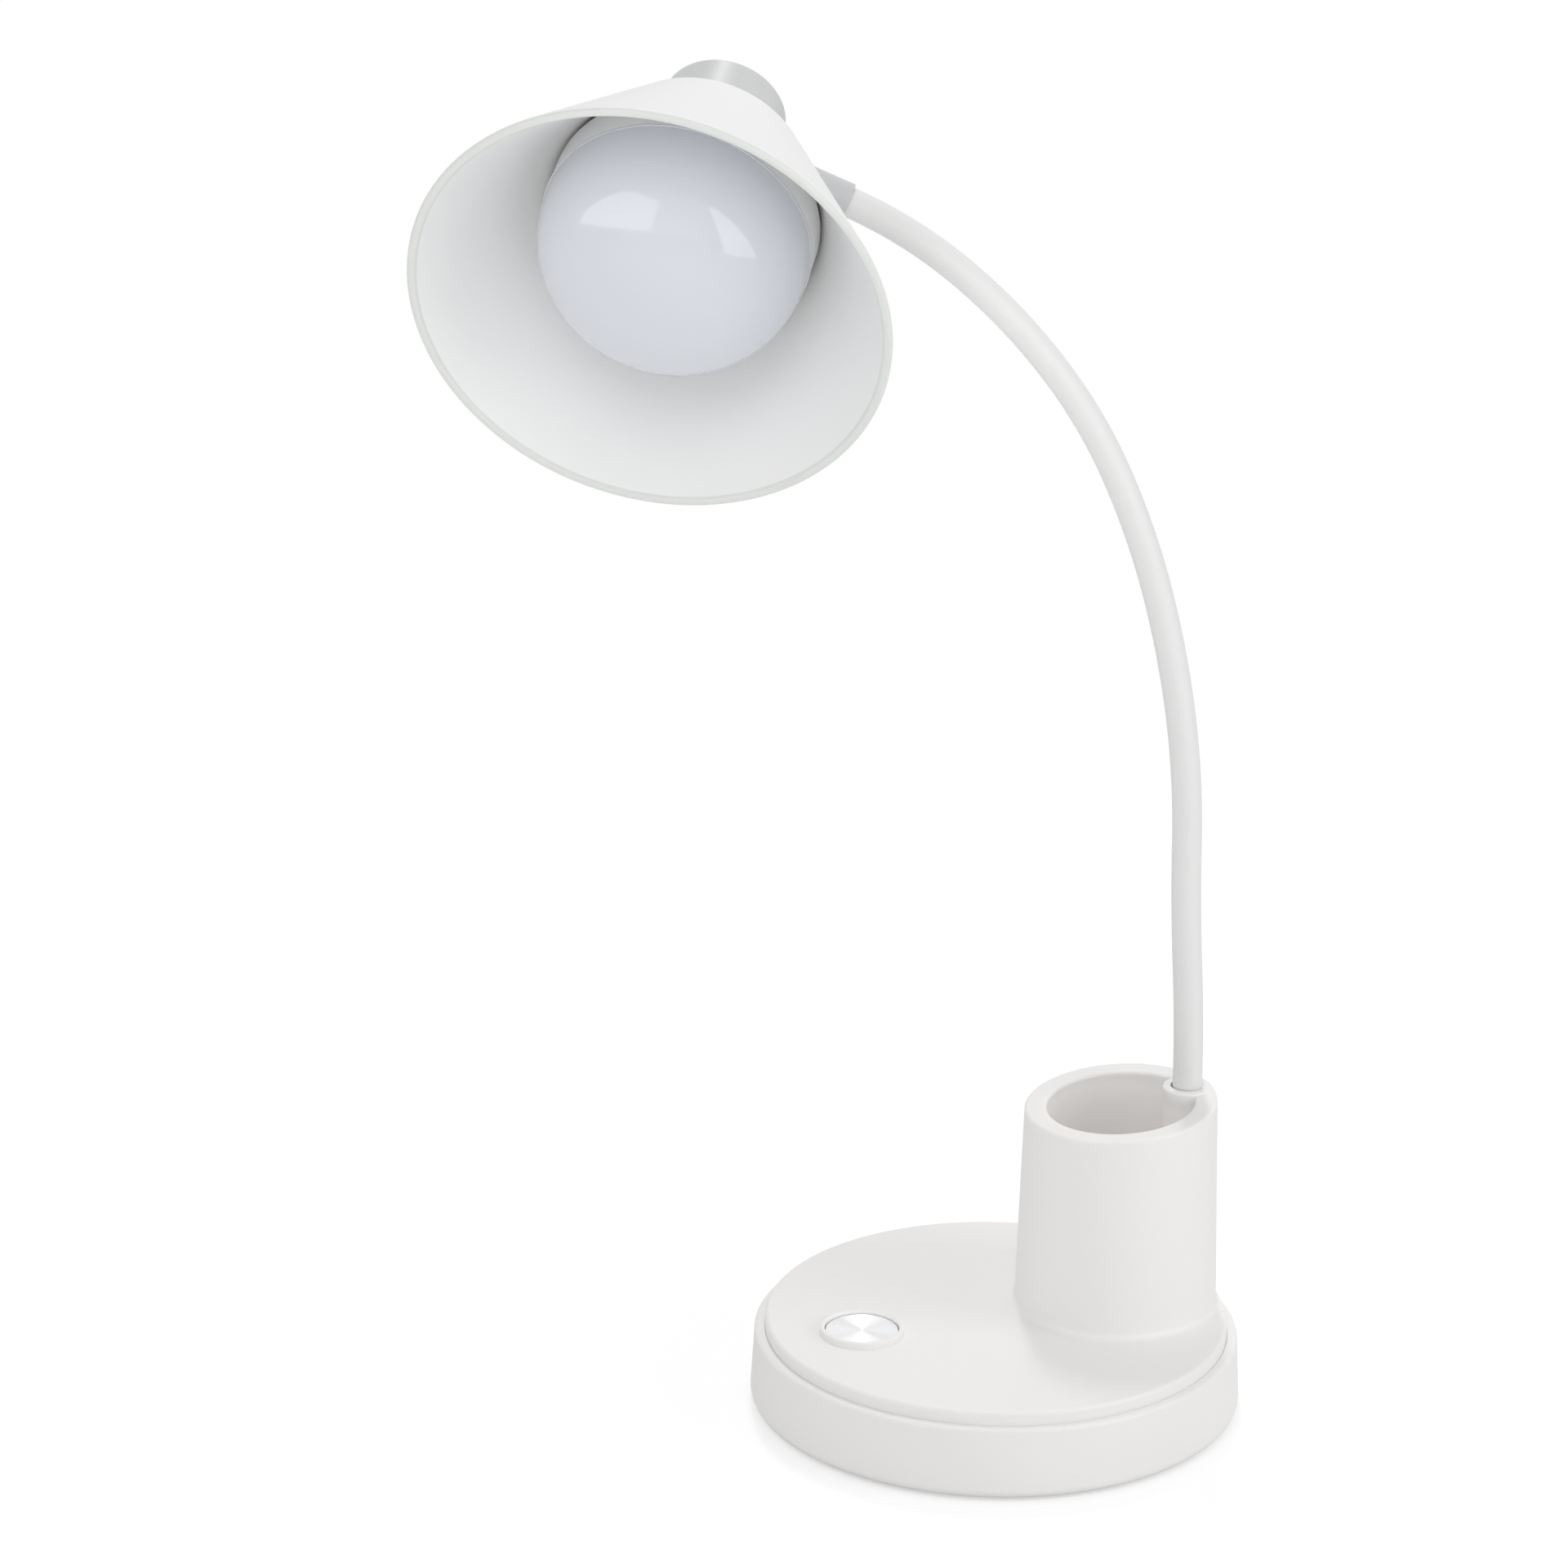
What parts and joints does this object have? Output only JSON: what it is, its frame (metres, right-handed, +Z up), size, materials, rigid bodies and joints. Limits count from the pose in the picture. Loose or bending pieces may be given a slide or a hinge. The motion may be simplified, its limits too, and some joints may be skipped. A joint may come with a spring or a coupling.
{
  "type": "desk lamp with cup holder",
  "caption": "Adjustable desk lamp: round weighted base with a pen cup and a push key, gooseneck arm, and a cone shade round a domed diffuser.",
  "frame": {"origin": "centre of the foot pad's underside, on the desk", "axes": "+Z up; +Y from the base's centre to the cup, with the power inlet at the far end; -Y to the key; the arm leans towards -Y and a little towards -X"},
  "size_m": [0.1547, 0.2534, 0.4253],
  "materials": {
    "pad_rubber": "matt grey foot pad",
    "white_plastic": "off-white moulded plastic with a fine satin texture",
    "cream_tape": "double-sided adhesive foam sheet",
    "weight_iron": "dark raw casting",
    "steel": "zinc-plated steel",
    "circuit_board": "green glass-epoxy laminate",
    "black_plastic": "black moulded component bodies",
    "connector_plastic": "natural nylon connectors",
    "lead_insulation": "white insulated leads",
    "spun_aluminium": "circular spun face with a radial sheen",
    "sleeve_plastic": "smooth off-white soft plastic sleeve",
    "core_steel": "wound steel gooseneck core",
    "grey_plastic": "pale grey satin plastic",
    "led_board_face": "white-masked metal-core board with yellow-topped LEDs",
    "diffuser_plastic": "glossy cool white opal plastic"
  },
  "bodies": {
    "base": {"foot_pad": "pad_rubber", "lower_shell": "white_plastic", "weight_tape": "cream_tape", "counterweight": "weight_iron", "cup_cover": "white_plastic", "base_screw_1": "steel", "base_screw_2": "steel", "base_screw_3": "steel", "base_screw_4": "steel", "control_board": "circuit_board", "board_screw_left": "steel", "board_screw_right": "steel", "switch_body": "black_plastic", "capacitor": "black_plastic", "driver_chip": "black_plastic", "lamp_connector": "connector_plastic", "supply_connector": "connector_plastic", "inlet_socket": "steel", "inlet_board": "circuit_board", "lamp_lead": "lead_insulation", "supply_lead": "lead_insulation", "arm_stem": "steel", "arm_washer": "steel", "arm_nut": "steel", "arm_sleeve_0": "sleeve_plastic", "gooseneck_core_0": "core_steel"},
    "key": {"key_disc": "spun_aluminium", "key_cap": "white_plastic", "switch_plunger": "white_plastic"},
    "arm_link_1": {"arm_sleeve_1": "sleeve_plastic", "gooseneck_core_1": "core_steel"},
    "arm_link_2": {"arm_sleeve_2": "sleeve_plastic", "gooseneck_core_2": "core_steel"},
    "arm_link_3": {"arm_sleeve_3": "sleeve_plastic", "gooseneck_core_3": "core_steel"},
    "arm_link_4": {"arm_sleeve_4": "sleeve_plastic", "gooseneck_core_4": "core_steel"},
    "arm_link_5": {"arm_sleeve_5": "sleeve_plastic", "gooseneck_core_5": "core_steel"},
    "arm_link_6": {"arm_sleeve_6": "sleeve_plastic", "gooseneck_core_6": "core_steel"},
    "arm_link_7": {"arm_sleeve_7": "sleeve_plastic", "gooseneck_core_7": "core_steel", "ferrule": "grey_plastic", "swivel_nut": "steel"},
    "head": {"neck": "grey_plastic", "shade": "white_plastic", "lamp_housing": "white_plastic", "head_screw_1": "steel", "head_screw_2": "steel", "head_screw_3": "steel", "led_board": "led_board_face", "diffuser_dome": "diffuser_plastic", "head_lead": "lead_insulation"}
  },
  "joints": [
    {"name": "key_press", "type": "slide", "parent": "base", "child": "key", "axis": [0, 0, -1], "range_m": [0, 0.0006], "stiffness_N_per_m": 2500, "springref_m": -0.0002},
    {"name": "arm_bend_1", "type": "hinge", "parent": "base", "child": "arm_link_1", "pos_m": [-0.00046, 0.05959, 0.13538], "axis": [0.9249, -0.3803, 0], "range_deg": [-17, 20]},
    {"name": "arm_bend_2", "type": "hinge", "parent": "arm_link_1", "child": "arm_link_2", "pos_m": [-0.00098, 0.05832, 0.17475], "axis": [-0.3803, -0.9248, -0.0087], "range_deg": [-20, 20]},
    {"name": "arm_bend_3", "type": "hinge", "parent": "arm_link_2", "child": "arm_link_3", "pos_m": [-0.00209, 0.05562, 0.21401], "axis": [0.9249, -0.3803, 0], "range_deg": [-17, 20]},
    {"name": "arm_bend_4", "type": "hinge", "parent": "arm_link_3", "child": "arm_link_4", "pos_m": [-0.00507, 0.04836, 0.2526], "axis": [-0.3673, -0.8934, -0.2588], "range_deg": [-20, 20]},
    {"name": "arm_bend_5", "type": "hinge", "parent": "arm_link_4", "child": "arm_link_5", "pos_m": [-0.01007, 0.03621, 0.2897], "axis": [0.9249, -0.3803, 0], "range_deg": [-17, 20]},
    {"name": "arm_bend_6", "type": "hinge", "parent": "arm_link_5", "child": "arm_link_6", "pos_m": [-0.01777, 0.01748, 0.32339], "axis": [-0.2997, -0.7288, -0.6157], "range_deg": [-20, 20]},
    {"name": "arm_bend_7", "type": "hinge", "parent": "arm_link_6", "child": "arm_link_7", "pos_m": [-0.0282, -0.00789, 0.35155], "axis": [0.9249, -0.3803, 0], "range_deg": [-17, 20]},
    {"name": "head_swivel", "type": "hinge", "parent": "arm_link_7", "child": "head", "pos_m": [-0.05616, -0.07589, 0.38888], "axis": [-0.35, -0.8514, 0.3907], "range_deg": [-155, 25]}
  ]
}
